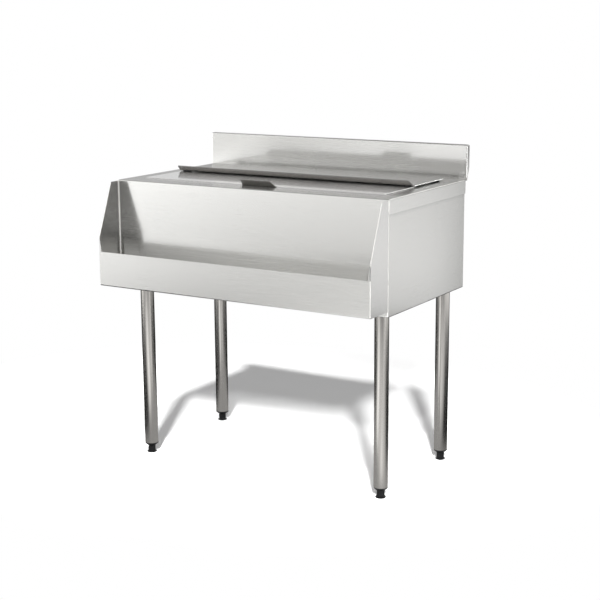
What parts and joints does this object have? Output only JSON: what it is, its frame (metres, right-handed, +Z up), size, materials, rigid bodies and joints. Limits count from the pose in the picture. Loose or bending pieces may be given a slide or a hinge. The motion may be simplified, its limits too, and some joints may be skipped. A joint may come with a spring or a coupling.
{
  "type": "bar ice chest",
  "caption": "Stainless underbar ice chest on tube legs, with an insulated drained bin, a split sliding cover, a low backsplash and a bottle trough between slanted cheeks.",
  "frame": {"origin": "on the floor, under the middle of the overall box", "axes": "+Z up, +Y to the back (the backsplash), +X to the right as seen by someone standing at the bottle trough"},
  "size_m": [0.9144, 0.6096, 0.962],
  "materials": {
    "casing_steel": "satin",
    "liner_steel": "satin",
    "lid_steel": "satin",
    "bracket_steel": "matte",
    "tube_steel": "polished",
    "screw_steel": "matte",
    "foot_plastic": "satin",
    "glide_plastic": "satin",
    "drain_plastic": "satin",
    "gasket_rubber": "matte",
    "strainer_steel": "satin",
    "foam": "matte"
  },
  "bodies": {
    "chest": {"top_deck": "casing_steel", "backsplash": "casing_steel", "back_panel": "casing_steel", "bottom_panel": "casing_steel", "side_panel_left": "casing_steel", "side_panel_right": "casing_steel", "trough_pan": "casing_steel", "trough_cheek_left": "casing_steel", "trough_cheek_right": "casing_steel", "bin_liner": "liner_steel", "leg_channel_left": "bracket_steel", "leg_channel_right": "bracket_steel", "leg_socket_front_left": "bracket_steel", "leg_socket_front_right": "bracket_steel", "leg_socket_rear_left": "bracket_steel", "leg_socket_rear_right": "bracket_steel", "leg_front_left": "tube_steel", "leg_front_right": "tube_steel", "leg_rear_left": "tube_steel", "leg_rear_right": "tube_steel", "leg_set_screws": "screw_steel", "foot_insert_front_left": "foot_plastic", "foot_insert_front_right": "foot_plastic", "foot_insert_rear_left": "foot_plastic", "foot_insert_rear_right": "foot_plastic", "foam_insulation": "foam", "drain_body": "drain_plastic", "drain_locknut": "drain_plastic", "drain_tailpiece": "drain_plastic", "drain_gasket": "gasket_rubber", "drain_strainer": "strainer_steel"},
    "front_cover": {"front_lid": "lid_steel", "front_lid_pull": "lid_steel", "front_lid_guides": "glide_plastic"},
    "rear_cover": {"rear_lid": "lid_steel", "rear_lid_front_glides": "glide_plastic", "rear_lid_rear_glides": "glide_plastic"},
    "levelling_foot_front_left": {"foot_front_left": "foot_plastic"},
    "levelling_foot_front_right": {"foot_front_right": "foot_plastic"},
    "levelling_foot_rear_left": {"foot_rear_left": "foot_plastic"},
    "levelling_foot_rear_right": {"foot_rear_right": "foot_plastic"}
  },
  "joints": [
    {"name": "front_lid_slide", "type": "slide", "parent": "chest", "child": "front_cover", "axis": [0, 1, 0], "range_m": [0, 0.145]},
    {"name": "rear_lid_slide", "type": "slide", "parent": "chest", "child": "rear_cover", "axis": [0, 1, 0], "range_m": [-0.145, 0]},
    {"name": "foot_front_left_screw", "type": "slide", "parent": "chest", "child": "levelling_foot_front_left", "axis": [0, 0, 1], "range_m": [-0.01, 0.016]},
    {"name": "foot_front_right_screw", "type": "slide", "parent": "chest", "child": "levelling_foot_front_right", "axis": [0, 0, 1], "range_m": [-0.01, 0.016]},
    {"name": "foot_rear_left_screw", "type": "slide", "parent": "chest", "child": "levelling_foot_rear_left", "axis": [0, 0, 1], "range_m": [-0.01, 0.016]},
    {"name": "foot_rear_right_screw", "type": "slide", "parent": "chest", "child": "levelling_foot_rear_right", "axis": [0, 0, 1], "range_m": [-0.01, 0.016]}
  ]
}
